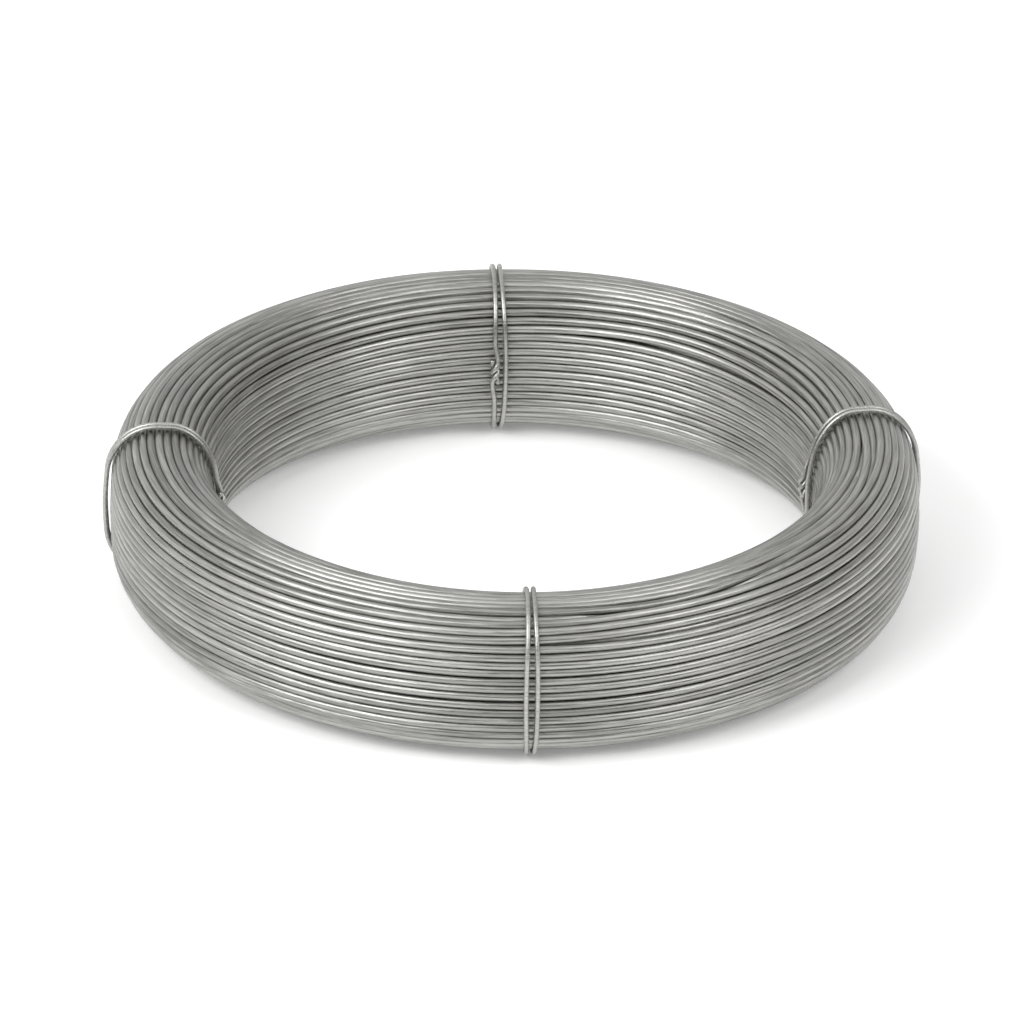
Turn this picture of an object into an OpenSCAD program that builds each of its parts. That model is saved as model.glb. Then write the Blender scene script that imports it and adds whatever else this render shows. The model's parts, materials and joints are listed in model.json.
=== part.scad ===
// Coil of galvanised steel wire: one wire wound into a ring that lies flat,
// bound by four soft tie wires. Each tie goes twice round the winding, and its
// two ends are twisted round each other on the wall of the eye.
// Millimetres. +Z is the coil's axis, and z = 0 is the floor under the ties.

/* [Wire] */
// Diameter of the wire that is wound
wire_d = 4; // [2:0.1:6]
// How much less than that lies between the turns that show, as they nest
turn_nest = 0.1; // [0.05:0.05:0.4]

/* [Winding] */
// Inside diameter of the winding, over its innermost turns
eye_d = 296; // [200:1:400]
// Build of the winding from the inside to the outside
winding_w = 52; // [36:1:80]
// Height of the winding
winding_h = 78; // [56:1:110]
// Radius of the winding's rounded shoulders
shoulder_r = 23; // [12:0.5:40]

/* [Ties] */
// Diameter of the tie wire
tie_d = 2.5; // [1.5:0.1:4]
// Gap between a tie and the turns that it binds
tie_gap = 0.2; // [0.1:0.05:1]
// Gap between a tie's two strands where they pass over and under the winding
strand_gap = 0.7; // [0.4:0.1:4]
// How far each strand bows aside along the inside and the outside of the winding
strand_bow = 1.2; // [0:0.1:3]
// How far a tie stands off the outside of the winding, halfway up
leg_bow = 1.2; // [0:0.1:4]
// Place of the front tie round the coil, in degrees
tie_front_angle = -87.2; // [-110:0.1:-70]
// Place of the right tie
tie_right_angle = 10.5; // [-20:0.1:20]
// Place of the back tie
tie_back_angle = 93.5; // [70:0.1:110]
// Place of the left tie
tie_left_angle = 179.4; // [160:0.1:200]

/* [Hidden] */

wire_fn = 48;
wire_colour = "#a6a8a6";
tie_colour = "#b4b6b4";

// The middle of the winding's section
mean_r = eye_d / 2 + winding_w / 2;
winding_z = tie_d + tie_gap + winding_h / 2;

// Radius of the shoulders, limited by the section that they round
shoulder = min(shoulder_r, winding_w / 2, winding_h / 2);

// Half width, half height and corner radius of two rounded rectangles round that
// middle: one through the centres of the turns that show, one along a tie's centre line
tie_seat = tie_gap + tie_d / 2;
turns_box = [winding_w / 2 - wire_d / 2, winding_h / 2 - wire_d / 2, shoulder - wire_d / 2];
tie_box = [winding_w / 2 + tie_seat, winding_h / 2 + tie_seat, shoulder + tie_seat];

// Length round a rounded rectangle
function loop_length(box) =
    4 * (box[0] - box[2]) + 4 * (box[1] - box[2]) + 2 * PI * box[2];

// Point and outward normal on half of a rounded rectangle, at the distance u from the
// middle of its inner side, down that side, under the bottom and up to the outer side
function half_loop(box, u) =
    let (w = box[0], h = box[1], r = box[2],
         side = h - r, flat = 2 * (w - r), arc = PI / 2 * r,
         bend_1 = (u - side) / r * 180 / PI,
         bend_2 = (u - side - arc - flat) / r * 180 / PI)
    u < side ? [[-w, -u], [-1, 0]] :
    u < side + arc ?
        [[r - w - r * cos(bend_1), -side - r * sin(bend_1)], [-cos(bend_1), -sin(bend_1)]] :
    u < side + arc + flat ? [[r - w + u - side - arc, -h], [0, -1]] :
    u < side + 2 * arc + flat ?
        [[w - r + r * sin(bend_2), -side - r * cos(bend_2)], [sin(bend_2), -cos(bend_2)]] :
    [[w, u - 2 * side - 2 * arc - flat], [1, 0]];

// The same all the way round: the second half is the first one after half a turn
function loop_at(box, s) =
    let (length = loop_length(box), u = s - length * floor(s / length))
    u < length / 2 ? half_loop(box, u) : -1 * half_loop(box, u - length / 2);

// 0 to 1 with a soft start and a soft end, as t goes from 0 to 1
function soft_step(t) =
    let (c = min(max(t, 0), 1))
    c * c * (3 - 2 * c);

// The winding: one turned solid with its eye, and a round crest for each turn that shows
turns_length = loop_length(turns_box);
turns_shown = round(turns_length / (wire_d - turn_nest));
turn_centres = [for (i = [0 : turns_shown - 1])
    loop_at(turns_box, i * turns_length / turns_shown)[0]];

module winding_section() {
    polygon(turn_centres);
    for (centre = turn_centres)
        translate(centre)
            circle(d = wire_d, $fn = wire_fn);
}

module coil() {
    color(wire_colour)
        rotate_extrude($fn = 4 * wire_fn)
            translate([mean_r, winding_z])
                winding_section();
}

// The sweep of a tie: sides of its section, and its steps, which are finer along an end
// and where the strands cross
tie_sides = 10;
fine_step = 1.15;
plain_step = 4.6;

// Room between two strands where one passes the other
pass_gap = 0.16;
pass_d = tie_d + pass_gap;

// The join, halfway up the wall of the eye: the two ends twist round each other once, in
// as long as such wires need to clear each other, to one side of the tie's middle
twist_r = pass_d / 2;
twist_aside = twist_r + tie_d / 2;
twist_length = 5.2 * tie_d;
twist_end = twist_length / 2;
// Length over which an end then comes down to the winding
settle_length = 4 * tie_d;
end_foot = twist_end + settle_length;

// The cross-over, where the strands change sides: its length, and how far from its middle
// the upper strand is at full height and then back on the winding
cross_length = 6 * tie_d;
cross_flat = 0.2 * cross_length;
cross_reach = 0.8 * cross_length;
// Its place round a shoulder at the bottom of the winding, in degrees from the side
cross_bend = 40;

// How far round the winding that is from the join, below the eye or below the outside
tie_length = loop_length(tie_box);
cross_inside = tie_box[1] - tie_box[2] + cross_bend / 180 * PI * tie_box[2];
cross_outside = tie_length / 2 - cross_inside;

// A point of a tie at the distance s along it from the join, as [distance from the
// coil's axis, distance aside, height]. The strands cross at the distance cross_at.
function tie_point(s, cross_at) =
    let (seat = loop_at(tie_box, s),
         lower = s - cross_at,
         upper = s - tie_length - cross_at,
         side = 1 - 2 * soft_step(lower / cross_length + 0.5) + 2 * soft_step(upper / cross_length + 0.5),
         bow = strand_bow * pow(cos(360 * s / tie_length), 2),
         strand = side * (tie_d / 2 + strand_gap / 2 + bow),
         over = soft_step((cross_reach - abs(upper)) / (cross_reach - cross_flat)),
         from_leg = abs(s % tie_length - tie_length / 2),
         leg = leg_bow * soft_step(1 - 2 * from_leg / winding_h),
         end = s < tie_length ? 1 : -1,
         from_join = min(s, 2 * tie_length - s),
         share = soft_step((end_foot - from_join) / settle_length),
         turn = 360 * soft_step(0.5 - from_join / twist_length),
         lift = over * pass_d + leg + share * twist_r * (1 + sin(turn)),
         aside = (1 - share) * strand + share * (twist_aside + end * twist_r * cos(turn)),
         place = seat[0] + lift * seat[1])
    [mean_r + place[0], aside, winding_z + place[1]];

// Distances in even steps from one to another, without the last
function stations(start, stop, step) =
    let (n = ceil((stop - start) / step))
    [for (i = 0; i < n; i = i + 1) start + (stop - start) * i / n];

// The route of a tie, twice round the winding from the tip of one end to that of the other
function tie_route(cross_at) =
    let (twice = 2 * tie_length,
         lower = [max(cross_at - cross_reach, end_foot), cross_at + cross_reach],
         upper = [tie_length + cross_at - cross_reach, tie_length + cross_at + cross_reach])
    [for (s = concat(
        stations(-twist_end, end_foot, fine_step),
        stations(end_foot, lower[0], plain_step),
        stations(lower[0], lower[1], fine_step),
        stations(lower[1], upper[0], plain_step),
        stations(upper[0], upper[1], fine_step),
        stations(upper[1], twice - end_foot, plain_step),
        stations(twice - end_foot, twice + twist_end, fine_step),
        [twice + twist_end]))
        tie_point(s, cross_at)];

// A round bar along a route, as rings that are carried along it without turning
function unit(v) = v / norm(v);
function heading(route, i) =
    unit(route[min(i + 1, len(route) - 1)] - route[max(i - 1, 0)]);
function square_to(v, axis) = unit(v - (v * axis) * axis);

function ring_normals(route, first) =
    [for (i = 0, n = square_to(first, heading(route, 0)); i < len(route);
          i = i + 1, n = square_to(n, heading(route, min(i, len(route) - 1)))) n];

module swept_bar(route, diameter, sides, first_normal) {
    rings = len(route);
    normals = ring_normals(route, first_normal);
    points = [for (i = [0 : rings - 1])
        let (n = normals[i], b = cross(heading(route, i), n))
        for (k = [0 : sides - 1])
            route[i] + diameter / 2 * (cos(360 * k / sides) * n + sin(360 * k / sides) * b)];
    walls = [for (i = [0 : rings - 2], k = [0 : sides - 1])
        let (m = (k + 1) % sides)
        [i * sides + k, i * sides + m, (i + 1) * sides + m, (i + 1) * sides + k]];
    caps = [[for (k = [sides - 1 : -1 : 0]) k],
            [for (k = [0 : sides - 1]) (rings - 1) * sides + k]];
    polyhedron(points, concat(walls, caps), convexity = 12);
}

module tie(angle, cross_at) {
    color(tie_colour)
        rotate([0, 0, angle])
            swept_bar(tie_route(cross_at), tie_d, tie_sides, [1, 0, 0]);
}

coil();
tie(tie_front_angle, cross_inside);  // tie_front
tie(tie_right_angle, cross_inside);  // tie_right
tie(tie_back_angle, cross_outside);  // tie_back
tie(tie_left_angle, cross_inside);  // tie_left
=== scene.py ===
import json
import math
import bpy
import bmesh
import numpy as np
from mathutils import Matrix, Vector


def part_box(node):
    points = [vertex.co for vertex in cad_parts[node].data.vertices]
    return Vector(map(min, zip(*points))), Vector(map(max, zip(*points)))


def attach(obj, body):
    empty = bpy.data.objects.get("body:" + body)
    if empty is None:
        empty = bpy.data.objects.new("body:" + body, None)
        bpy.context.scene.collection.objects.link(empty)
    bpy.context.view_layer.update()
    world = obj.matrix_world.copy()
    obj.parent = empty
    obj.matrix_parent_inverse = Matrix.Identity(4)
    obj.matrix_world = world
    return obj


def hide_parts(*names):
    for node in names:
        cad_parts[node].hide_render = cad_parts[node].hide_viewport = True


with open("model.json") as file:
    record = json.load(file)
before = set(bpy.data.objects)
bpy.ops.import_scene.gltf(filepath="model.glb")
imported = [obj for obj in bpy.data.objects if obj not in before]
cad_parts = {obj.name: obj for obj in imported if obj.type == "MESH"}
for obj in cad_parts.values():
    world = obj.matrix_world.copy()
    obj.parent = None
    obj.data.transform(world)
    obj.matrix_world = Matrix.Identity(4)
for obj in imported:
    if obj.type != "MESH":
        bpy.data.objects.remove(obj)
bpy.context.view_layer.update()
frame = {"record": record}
mm = 0.001

# The section of the winding comes from the frame, in mm
coilLow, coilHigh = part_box("coil")
eyeRadius = frame["record"]["mounts"][0]["dims"]["r_mm"]
outerRadius = coilHigh.x / mm
midRadius = (eyeRadius + outerRadius) / 2
midHeight = (coilLow.z + coilHigh.z) / 2 / mm
sectionWidth = outerRadius - eyeRadius
sectionHeight = (coilHigh.z - coilLow.z) / mm


def softStep(t):
    t = np.clip(t, 0, 1)
    return t * t * (3 - 2 * t)


# Points evenly spaced round a rounded rectangle, from the middle of its underside
def roundedLoop(halfWidth, halfHeight, corner, places):
    bend = np.linspace(0, math.pi / 2, 60)
    quarter = np.stack([halfWidth - corner + corner * np.sin(bend),
                        -halfHeight + corner - corner * np.cos(bend)], 1)
    right = np.concatenate([[[0, -halfHeight]], quarter,
                            quarter[::-1] * [1, -1], [[0, halfHeight]]])
    loop = np.concatenate([right, right[-2::-1] * [-1, 1]])
    along = np.concatenate([[0], np.cumsum(np.linalg.norm(np.diff(loop, axis=0), axis=1))])
    at = (places % 1) * along[-1]
    return np.stack([np.interp(at, along, loop[:, 0]), np.interp(at, along, loop[:, 1])], -1)


winding = {
    "wire": 4.0,               # diameter of the wire, mm
    "drawn": 4.08,             # drawn a little thicker, so that the gaps stay fine
    "shoulder": 23.0,          # radius of the section's rounded shoulders
    "stations": 150,           # points along each turn
    "layers": (50, 46, 40),    # turns in the layer that shows and the two below it
    "layerStep": 3.4,          # from one layer to the next
    "sides": (12, 10, 6),      # sides of the wire in each layer
    "thinning": (1, 1, 2),     # the lowest layer is drawn with every other point
    "wander": ((0.7, 2.5), (0.3, 6)),    # mm aside, and waves in a turn
    "sink": ((0.35, 3), (0.2, 7)),       # mm deeper or higher, and waves in a turn
    "dives": 12,               # places where a turn goes under and its neighbours close up
    "diveDepth": 2.0,
    "diveLength": (0.35, 0.9),     # of a turn
    "diveRamp": (0.14, 0.26),      # of a turn, to go under and to come up again
    "diveRoom": 0.85,          # share of its room that it leaves to its neighbours
    "ridge": 1.3,              # mm that every other turn lies deeper on top, front and back
    "ridgeRange": (0.6, 1.2),  # of that, from turn to turn
    "ridgeTop": (0.55, 0.3),   # how far up a place faces where that starts, and how fast it grows
    "ridgeEnds": (0.35, 0.5),  # the same for how far it lies to the front or the back
    "stiffness": 14,           # most waves that the wire can take in a turn
    # how much narrower the section is at the right and the left: inside and outside of
    # the top, outside of the bottom
    "taper": ((0.2, 0.08, 0.08), (0.14, 0.04, 0.04)),
    "taperFade": 6,            # how fast that goes towards the front and the back
    "taperHeight": 0.85,       # share of half the height at which it is full
    "spread": 0.12,            # mm that the turns keep apart where there is room
    "pinch": 0.3,              # mm that a tie draws the turns in
    "pinchLength": 16.0,       # mm along the turns, to each side of a tie
    # settling: steps, turns looked at near each turn, steps between such looks
    "steps": 260,
    "near": 12,
    "lookEvery": 12,
    "hold": 0.08,              # pull back to the laid place at first, and when it has gone
    "holdUntil": 0.75,
    "ease": 0.3,               # pull of a wire's points into line
    "push": 0.38,              # share of an overlap that each step takes away
    "lift": 0.5,               # share of a sinking turn's depth that each step takes away
    "lowest": 0.6,             # of a layer above the place where a fourth would lie
    "seed": 1,
}

ties = {
    "wire": 2.5,               # mm
    "drawn": 2.46,             # drawn a little thinner, to stay inside the solid's box
    "gap": 0.2,                # to the turns
    "strandGap": 0.7,
    "bow": 1.2,                # of each strand aside, along the inside and the outside
    "legBow": 0.9,             # that it stands off the outside of the winding, halfway up
    "passGap": 0.16,           # where one strand passes the other
    "crossBend": 40,           # degrees round a lower shoulder to the cross-over
    # lengths in diameters: of the twist, of an end's way down to the turns, of the cross-over
    "twistLength": 5.2,
    "settleLength": 4,
    "crossLength": 6,
    "crossReach": 0.8,         # of its length, from its middle to where the upper strand is down
    "crossRise": 0.6,          # of its length, on the way up
    "points": 520,
    "sides": 12,
    # place round the coil in degrees, lean of both strands aside in mm, side of the cross-over
    "places": {"tie_front": (-87.2, 0.0, "inner"), "tie_right": (10.5, -0.5, "inner"),
               "tie_back": (93.5, -0.6, "outer"), "tie_left": (179.4, 0.4, "inner")},
}

chance = np.random.default_rng(winding["seed"])
stations = winding["stations"]
wire = winding["wire"]
layerStart = np.cumsum([0, *winding["layers"]])
layerSlices = [slice(a, b) for a, b in zip(layerStart[:-1], layerStart[1:])]
halfWidth = (sectionWidth - wire) / 2
halfHeight = (sectionHeight - wire) / 2
corner = winding["shoulder"] - wire / 2


# A smooth wander along a wire, with about so many waves in each turn
def wander(points, waves):
    spectrum = np.fft.rfft(chance.standard_normal(points))
    perTurn = np.arange(len(spectrum)) * stations / points
    line = np.fft.irfft(spectrum * np.exp(-(perTurn / waves) ** 2), points)
    return line / line.std()


# A wire too stiff for the shorter waves
def straighten(place):
    for part in layerSlices:
        line = place[part].reshape(-1, 2)
        spectrum = np.fft.rfft(line, axis=0)
        perTurn = np.arange(len(spectrum)) * stations / len(line)
        spectrum *= np.exp(-(perTurn / winding["stiffness"]) ** 4)[:, None]
        place[part] = np.fft.irfft(spectrum, len(line), axis=0).reshape(-1, stations, 2)


# Height above the outline through the outer turns, and the way out from it
def aboveOutline(place):
    past = np.abs(place) - [halfWidth - corner, halfHeight - corner]
    out = np.maximum(past, 0)
    length = np.linalg.norm(out, axis=-1)
    flat = np.eye(2)[np.argmax(past, axis=-1)]
    normal = np.where(length[..., None] > 0, out / np.maximum(length, 1e-9)[..., None], flat)
    height = length + np.minimum(past.max(axis=-1), 0) - corner
    return height, normal * np.where(place < 0, -1, 1)


# The section's width at each point, as a share: it is rounder at the right and left ends
def narrowing(place, angle):
    sideways = np.cos(angle)
    right, left = winding["taper"]
    topInside, topOutside, bottomOutside = [np.where(sideways > 0, *pair)
                                            for pair in zip(right, left)]
    above, outside = place[..., 1] > 0, place[..., 0] > 0
    share = np.where(above, np.where(outside, topOutside, topInside),
                     np.where(outside, bottomOutside, 0))
    full = winding["taperHeight"] * halfHeight
    share = share * sideways ** winding["taperFade"] * softStep(np.abs(place[..., 1]) / full)
    return np.stack([1 - share, np.ones_like(share)], -1)


# The nearest other turns of each turn, at every station
def nearestTurns(place, count):
    flat = place.astype(np.float32)
    apart = ((flat[:, None] - flat[None]) ** 2).sum(-1)
    apart[np.arange(len(flat)), np.arange(len(flat))] = np.inf
    return np.argpartition(apart, count, axis=1)[:, :count]


# Where turns of the outer layer go under: 0 on the surface to 1 below it
def diveTurns(points):
    under = np.zeros(points)
    for dive in range(winding["dives"]):
        first = chance.integers(stations, points - stations)
        length = int(stations * chance.uniform(*winding["diveLength"]))
        ramp = stations * chance.uniform(*winding["diveRamp"])
        t = np.arange(length)
        rise = softStep(t / ramp) * softStep((length - t) / ramp)
        at = (first + t) % points
        under[at] = np.maximum(under[at], rise)
    return under


# Every layer is wound round the outline, so that each turn runs on into the next one
def layTurns():
    place = np.empty((layerStart[-1], stations, 2))
    turnShare = np.arange(stations) / stations
    angle = turnShare * 360
    for level, part in enumerate(layerSlices):
        turns = winding["layers"][level]
        points = turns * stations
        inset = level * winding["layerStep"]
        under = diveTurns(points) if level == 0 else np.zeros(points)
        under = under.reshape(turns, stations)
        room = 1 - winding["diveRoom"] * under
        lane = (np.cumsum(room, axis=0) - room / 2 + turnShare - 0.5) / room.sum(axis=0)
        lane = roundedLoop(halfWidth - inset, halfHeight - inset, corner - inset, lane.ravel())
        normal = aboveOutline(lane)[1]
        aside = np.stack([-normal[:, 1], normal[:, 0]], 1)
        deeper = winding["diveDepth"] * under.ravel()
        if level == 0:
            # on top at the front and the back every other turn lies a little deeper
            start, growth = winding["ridgeTop"]
            onTop = softStep((normal[:, 1].reshape(turns, stations) - start) / growth)
            start, growth = winding["ridgeEnds"]
            turned = softStep((np.abs(np.sin(np.radians(angle))) - start) / growth)
            odd = np.arange(turns)[:, None] % 2
            size = winding["ridge"] * chance.uniform(*winding["ridgeRange"], (turns, 1))
            deeper = deeper + (size * odd * onTop * turned).ravel()
        for size, waves in winding["wander"]:
            lane = lane + size * wander(points, waves)[:, None] * aside
        for size, waves in winding["sink"]:
            lane = lane - size * wander(points, waves)[:, None] * normal
        lane = lane - deeper[:, None] * normal
        place[part] = lane.reshape(turns, stations, 2)
    return place * narrowing(place, np.radians(angle))


# The turns push each other apart, until hardly any is inside another
def settleTurns(target):
    place = target.copy()
    stationIndex = np.arange(stations)[None, None]
    angle = np.arange(stations) * 360 / stations
    pinched = np.zeros(stations)
    for tieAngle, *rest in ties["places"].values():
        off = (angle - tieAngle + 180) % 360 - 180
        away = np.radians(off) * midRadius / winding["pinchLength"]
        pinched += winding["pinch"] * np.exp(-away ** 2)
    deepest = (len(layerSlices) - winding["lowest"]) * winding["layerStep"]
    for step in range(winding["steps"]):
        if step % winding["lookEvery"] == 0:
            near = nearestTurns(place, winding["near"])
            straighten(place)
        hold = winding["hold"] * max(0, 1 - step / (winding["holdUntil"] * winding["steps"]))
        place += hold * (target - place)
        for part in layerSlices:
            line = place[part].reshape(-1, 2)
            line += winding["ease"] * ((np.roll(line, 1, 0) + np.roll(line, -1, 0)) / 2 - line)
        apart = place[:, None] - place[near, stationIndex]
        gap = np.maximum(np.linalg.norm(apart, axis=-1), 1e-6)
        push = np.maximum(wire + winding["spread"] - gap, 0) / gap
        place += winding["push"] * (push[..., None] * apart).sum(1)
        height, normal = aboveOutline(place / narrowing(place, np.radians(angle)))
        over = np.maximum(height + pinched, 0) - winding["lift"] * np.maximum(-height - deepest, 0)
        place -= over[..., None] * normal
    straighten(place)
    gap = np.linalg.norm(place[:, None] - place[near, stationIndex], axis=-1)
    print("turns settled, deepest overlap", round(float(wire - gap.min()), 3), "mm")
    return place


# A bevelled curve along a wire becomes its mesh, which also keeps the length along the wire
def wireMesh(name, points, diameter, sides, closed):
    curve = bpy.data.curves.new(name, "CURVE")
    curve.dimensions = "3D"
    curve.bevel_depth = diameter / 2
    curve.bevel_resolution = sides // 2 - 2
    curve.use_fill_caps = not closed
    spline = curve.splines.new("POLY")
    spline.points.add(len(points) - 1)
    spline.points.foreach_set("co", np.column_stack([points, np.ones(len(points))]).ravel())
    spline.use_cyclic_u = closed
    rough = bpy.data.objects.new(name, curve)
    bpy.context.scene.collection.objects.link(rough)
    depsgraph = bpy.context.evaluated_depsgraph_get()
    mesh = bpy.data.meshes.new_from_object(rough.evaluated_get(depsgraph))
    bpy.data.objects.remove(rough)
    mesh.name = name
    length = np.concatenate([[0], np.cumsum(np.linalg.norm(np.diff(points, axis=0), axis=1))])
    caps = len(mesh.vertices) // sides - len(points)
    rings = np.concatenate([[length[-1], 0][:caps], length])
    along = mesh.attributes.new("along", "FLOAT", "POINT")
    along.data.foreach_set("value", np.repeat(rings, sides).astype(np.float32))
    shape = bmesh.new()
    shape.from_mesh(mesh)
    if caps:
        bmesh.ops.remove_doubles(shape, verts=shape.verts, dist=diameter / 1000)
    shape.to_mesh(mesh)
    shape.free()
    mesh.shade_smooth()
    piece = bpy.data.objects.new(name, mesh)
    bpy.context.scene.collection.objects.link(piece)
    return piece


place = settleTurns(layTurns())
angle = np.arange(stations) * 2 * math.pi / stations
coilPieces = []
for level, part in enumerate(layerSlices):
    radius = (midRadius + place[part][..., 0]) * mm
    height = (midHeight + place[part][..., 1]) * mm
    points = np.stack([radius * np.cos(angle), radius * np.sin(angle), height], -1)
    points = points.reshape(-1, 3)[::winding["thinning"][level]]
    piece = wireMesh(f"turns_{level + 1}", points, winding["drawn"] * mm,
                     winding["sides"][level], True)
    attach(piece, "root")
    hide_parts("coil")
    coilPieces.append(piece)
    print(piece.name, len(piece.data.polygons), "faces")


# A tie goes twice round the winding, from one end of its wire, in the join on the wall of
# the eye, to the other end. Its strands change sides where they cross, below a shoulder.
def tieRoute(tieAngle, lean, crossSide):
    tieWire = ties["wire"]
    seat = ties["gap"] + tieWire / 2
    box = (sectionWidth / 2 + seat, sectionHeight / 2 + seat, winding["shoulder"] + seat)
    around = 4 * (box[0] + box[1] - 2 * box[2]) + 2 * math.pi * box[2]
    pitch = tieWire + ties["passGap"]
    twistLength = ties["twistLength"] * tieWire
    settle = ties["settleLength"] * tieWire
    crossLength = ties["crossLength"] * tieWire
    cross = box[1] - box[2] + math.radians(ties["crossBend"]) * box[2]
    if crossSide == "outer":
        cross = around / 2 - cross
    s = np.linspace(-twistLength / 2, 2 * around + twistLength / 2, ties["points"])
    at = 0.75 + s / around
    seatAt = roundedLoop(*box, at)
    ahead = roundedLoop(*box, at + 1e-4) - roundedLoop(*box, at - 1e-4)
    out = np.stack([ahead[:, 1], -ahead[:, 0]], 1) / np.linalg.norm(ahead, axis=1)[:, None]
    middle = np.cos(2 * math.pi * s / around) ** 2
    lower, upper = s - cross, s - around - cross
    side = 1 - 2 * softStep(lower / crossLength + 0.5) + 2 * softStep(upper / crossLength + 0.5)
    aside = side * (tieWire / 2 + ties["strandGap"] / 2 + ties["bow"] * middle)
    rise = (ties["crossReach"] - np.abs(upper) / crossLength) / ties["crossRise"]
    lift = pitch * softStep(rise)
    outside = np.abs(s % around - around / 2)
    lift += ties["legBow"] * softStep(1 - 2 * outside / sectionHeight)
    fromJoin = np.minimum(s, 2 * around - s)
    share = softStep((twistLength / 2 + settle - fromJoin) / settle)
    turn = 2 * math.pi * softStep(0.5 - fromJoin / twistLength)
    lift += share * pitch / 2 * (1 + np.sin(turn))
    twist = (pitch + tieWire) / 2 + np.where(s < around, 1, -1) * pitch / 2 * np.cos(turn)
    aside = (1 - share) * aside + share * twist
    # the outline through the turns below is narrowed, and the tie keeps its distance from it
    distance = seat + wire / 2
    below = seatAt - distance * out
    below *= narrowing(below, math.radians(tieAngle))
    place = below + (distance + lift)[:, None] * out
    return np.stack([midRadius + place[:, 0], aside + lean * middle, midHeight + place[:, 1]], 1)


tiePieces = []
for name, (tieAngle, lean, crossSide) in ties["places"].items():
    turned = np.array(Matrix.Rotation(math.radians(tieAngle), 3, "Z")).T
    route = tieRoute(tieAngle, lean, crossSide) @ turned
    piece = wireMesh(name + "_wire", route * mm, ties["drawn"] * mm, ties["sides"], False)
    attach(piece, "root")
    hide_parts(name)
    tiePieces.append(piece)
    print(piece.name, len(piece.data.polygons), "faces")


# sRGB hex to linear
def colour(code):
    parts = [int(code[i:i + 2], 16) / 255 for i in (1, 3, 5)]
    return [c / 12.92 if c <= 0.04045 else ((c + 0.055) / 1.055) ** 2.4 for c in parts] + [1]


def addNode(tree, kind, links={}, **settings):
    node = tree.nodes.new(kind)
    for name, value in settings.items():
        setattr(node, name, value)
    for name, value in links.items():
        if isinstance(value, bpy.types.NodeSocket):
            tree.links.new(value, node.inputs[name])
        else:
            node.inputs[name].default_value = value
    return node


def newMaterial(name):
    material = bpy.data.materials.new(name)
    material.use_nodes = True
    material.node_tree.nodes.clear()
    return material, material.node_tree


# Zinc-coated steel wire, drawn: a satin grey with fine lines along the wire, dull in patches
zincLook = {
    "dark": "#858582",
    "light": "#b9b9b5",
    "lineWidth": 0.7,          # mm; real draw lines are finer than the render can show
    "lineLength": 22.0,
    "patch": 40.0,             # mm, size of the duller patches
    "turnLength": 700.0,       # mm of wire over which its tone changes
    "toneShare": 0.35,         # of that tone, the rest comes from the lines
    "greyRange": (0.38, 0.62),     # of the noise, from dark to light
    "lineShare": 0.5,          # of the lines in the dullness, the rest comes from the patches
    "dullRange": (0.3, 0.7),
    "roughness": (0.31, 0.48),
    "bump": 0.7,
    "bumpHeight": 0.2,         # mm
}


def wireMaterial(name, look):
    material, tree = newMaterial(name)
    place = addNode(tree, "ShaderNodeTexCoord").outputs["Object"]
    along = addNode(tree, "ShaderNodeAttribute", attribute_name="along").outputs["Fac"]
    split = addNode(tree, "ShaderNodeSeparateXYZ", {"Vector": place})
    flat = addNode(tree, "ShaderNodeCombineXYZ", {"X": split.outputs["X"], "Y": split.outputs["Y"]})
    radius = addNode(tree, "ShaderNodeVectorMath", {0: flat.outputs["Vector"]}, operation="LENGTH")
    short = addNode(tree, "ShaderNodeMath", {0: along, 1: look["lineWidth"] / look["lineLength"]},
                    operation="MULTIPLY")
    across = addNode(tree, "ShaderNodeCombineXYZ",
                     {"X": radius.outputs["Value"], "Y": split.outputs["Z"], "Z": short.outputs[0]})
    lines = addNode(tree, "ShaderNodeTexNoise",
                    {"Vector": across.outputs["Vector"], "Scale": 1 / (look["lineWidth"] * mm),
                     "Detail": 3.0, "Roughness": 0.6})
    patches = addNode(tree, "ShaderNodeTexNoise",
                      {"Vector": place, "Scale": 1 / (look["patch"] * mm), "Detail": 3.0})
    tone = addNode(tree, "ShaderNodeTexNoise",
                   {"W": along, "Scale": 1 / (look["turnLength"] * mm), "Detail": 2.0},
                   noise_dimensions="1D")
    mixed = addNode(tree, "ShaderNodeMix",
                    {0: look["toneShare"], 2: lines.outputs["Fac"], 3: tone.outputs["Fac"]})
    grey = addNode(tree, "ShaderNodeMapRange",
                   {"Value": mixed.outputs[0], "From Min": look["greyRange"][0],
                    "From Max": look["greyRange"][1]})
    base = addNode(tree, "ShaderNodeMix",
                   {0: grey.outputs[0], 6: colour(look["dark"]), 7: colour(look["light"])},
                   data_type="RGBA")
    dull = addNode(tree, "ShaderNodeMix",
                   {0: look["lineShare"], 2: patches.outputs["Fac"], 3: lines.outputs["Fac"]})
    rough = addNode(tree, "ShaderNodeMapRange",
                    {"Value": dull.outputs[0], "From Min": look["dullRange"][0],
                     "From Max": look["dullRange"][1], "To Min": look["roughness"][0],
                     "To Max": look["roughness"][1]})
    bump = addNode(tree, "ShaderNodeBump",
                   {"Height": lines.outputs["Fac"], "Strength": look["bump"],
                    "Distance": look["bumpHeight"] * mm})
    shader = addNode(tree, "ShaderNodeBsdfPrincipled",
                     {"Base Color": base.outputs[2], "Metallic": 1.0, "Roughness": rough.outputs[0],
                      "Normal": bump.outputs["Normal"]})
    addNode(tree, "ShaderNodeOutputMaterial", {"Surface": shader.outputs["BSDF"]})
    return material


zinc = wireMaterial("galvanised steel wire, drawn", zincLook)
for piece in coilPieces:
    piece.data.materials.clear()
    piece.data.materials.append(zinc)

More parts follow.
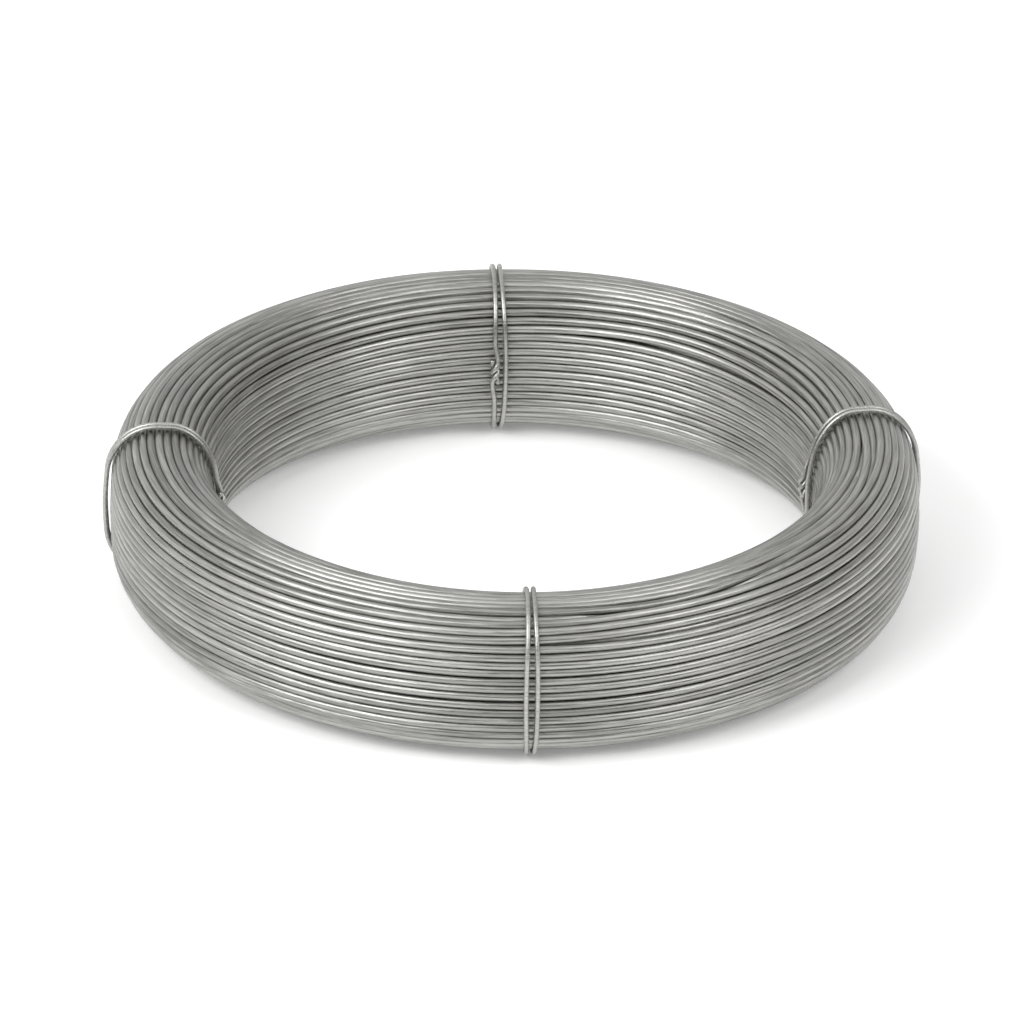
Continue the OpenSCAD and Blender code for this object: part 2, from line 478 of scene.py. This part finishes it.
# The ties' softer wire has the same satin zinc, a little brighter
softZincLook = dict(zincLook, dark="#93938f", light="#bfbfbb")
softZinc = wireMaterial("galvanised tie wire, annealed", softZincLook)
for piece in tiePieces:
    piece.data.materials.clear()
    piece.data.materials.append(softZinc)
print("wire materials set")

# Floor, light and camera
stageSettings = {
    "floorSize": 12.0,         # m
    "floorColour": "#f2f2f2",
    "floorGlow": 0.2,          # lifts the paper to white where it is looked at
    "front": 0.08,             # strength of the room behind the camera, behind the coil, above
    "back": 0.9,
    "above": 0.84,
    "sides": (1.15, 0.65),     # how much brighter its left is than its right
    # how far to the front and the back, to the sides and up the room changes
    "depthReach": 0.6,
    "sideReach": 0.8,
    "heightRange": (0.5, 1.0),
}
mesh = bpy.data.meshes.new("floor")
shape = bmesh.new()
bmesh.ops.create_grid(shape, x_segments=1, y_segments=1, size=stageSettings["floorSize"] / 2)
shape.to_mesh(mesh)
shape.free()
floor = bpy.data.objects.new("floor", mesh)
bpy.context.scene.collection.objects.link(floor)


# 1 for rays from the camera, and for those that come to it by a mirror or through glass
def lookedAt(tree):
    path = addNode(tree, "ShaderNodeLightPath").outputs
    seen = path["Is Camera Ray"]
    for kind in ("Is Transmission Ray", "Is Glossy Ray"):
        seen = addNode(tree, "ShaderNodeMath", {0: seen, 1: path[kind]},
                       operation="MAXIMUM").outputs[0]
    return seen


# Matt white paper, a plain ground that takes the coil's soft shadow
paper, tree = newMaterial("white studio paper, matt")
glow = addNode(tree, "ShaderNodeMath", {0: lookedAt(tree), 1: stageSettings["floorGlow"]},
               operation="MULTIPLY")
shader = addNode(tree, "ShaderNodeBsdfPrincipled",
                 {"Base Color": colour(stageSettings["floorColour"]), "Roughness": 1.0,
                  "Specular IOR Level": 0.0, "Emission Color": (1, 1, 1, 1),
                  "Emission Strength": glow.outputs[0]})
addNode(tree, "ShaderNodeOutputMaterial", {"Surface": shader.outputs["BSDF"]})
floor.data.materials.append(paper)

# A room that is bright overhead, paler behind the coil and dim behind the camera
world = bpy.data.worlds.new("studio")
bpy.context.scene.world = world
world.use_nodes = True
tree = world.node_tree
tree.nodes.clear()
generated = addNode(tree, "ShaderNodeTexCoord").outputs["Generated"]
way = addNode(tree, "ShaderNodeSeparateXYZ", {"Vector": generated}).outputs
walls = addNode(tree, "ShaderNodeMapRange",
                {"Value": way["Y"], "From Min": -stageSettings["depthReach"],
                 "From Max": stageSettings["depthReach"], "To Min": stageSettings["front"],
                 "To Max": stageSettings["back"]})
sides = addNode(tree, "ShaderNodeMapRange",
                {"Value": way["X"], "From Min": -stageSettings["sideReach"],
                 "From Max": stageSettings["sideReach"], "To Min": stageSettings["sides"][0],
                 "To Max": stageSettings["sides"][1]})
shaded = addNode(tree, "ShaderNodeMath", {0: walls.outputs[0], 1: sides.outputs[0]},
                 operation="MULTIPLY")
height = addNode(tree, "ShaderNodeMapRange",
                 {"Value": way["Z"], "From Min": stageSettings["heightRange"][0],
                  "From Max": stageSettings["heightRange"][1]}, interpolation_type="SMOOTHSTEP")
room = addNode(tree, "ShaderNodeMix",
               {0: height.outputs[0], 2: shaded.outputs[0], 3: stageSettings["above"]})
background = addNode(tree, "ShaderNodeBackground",
                     {"Color": (1, 1, 1, 1), "Strength": room.outputs[0]})
addNode(tree, "ShaderNodeOutputWorld", {"Surface": background.outputs[0]})

target = Vector((0, 0, midHeight * mm))
lamps = {
    # where it stands as seen from the coil in m, its width and height, and its power in W
    "lamp_left": ((-2.2, -1.7, 2.4), (3.0, 1.9), 106),
    "lamp_right": ((2.2, -1.7, 2.4), (2.3, 1.9), 52),
}
for name, (stand, size, power) in lamps.items():
    lamp = bpy.data.lights.new(name, "AREA")
    lamp.shape = "RECTANGLE"
    lamp.size, lamp.size_y = size
    lamp.energy = power
    holder = bpy.data.objects.new(name, lamp)
    holder.location = target + Vector(stand)
    holder.rotation_euler = (-Vector(stand)).to_track_quat("-Z", "Y").to_euler()
    bpy.context.scene.collection.objects.link(holder)

camera = {
    "elevation": 27.44,        # degrees above the floor
    "roll": 0.9,
    "distance": 12.0,          # m, from the middle of the coil
    "pixelsPerMm": 2.0246,
    "image": 1024,             # px, width of the picture that these are measured in
    "centre": (514.83, 506.18),    # where the middle of the coil lies in the image
}
lens = bpy.data.cameras.new("camera")
lens.sensor_width = 36
lens.lens = lens.sensor_width * camera["distance"] / mm * camera["pixelsPerMm"] / camera["image"]
lens.shift_x = 0.5 - camera["centre"][0] / camera["image"]
lens.shift_y = camera["centre"][1] / camera["image"] - 0.5
lens.clip_end = 40
eye = bpy.data.objects.new("camera", lens)
rise = math.radians(camera["elevation"])
back = Vector((0, -math.cos(rise), math.sin(rise)))
aim = (-back).to_track_quat("-Z", "Y").to_matrix().to_4x4()
eye.matrix_world = (Matrix.Translation(target + back * camera["distance"]) @ aim
                    @ Matrix.Rotation(math.radians(camera["roll"]), 4, "Z"))
bpy.context.scene.collection.objects.link(eye)
bpy.context.scene.camera = eye
bpy.context.scene.view_settings.view_transform = "Standard"
print("floor, light and camera set")
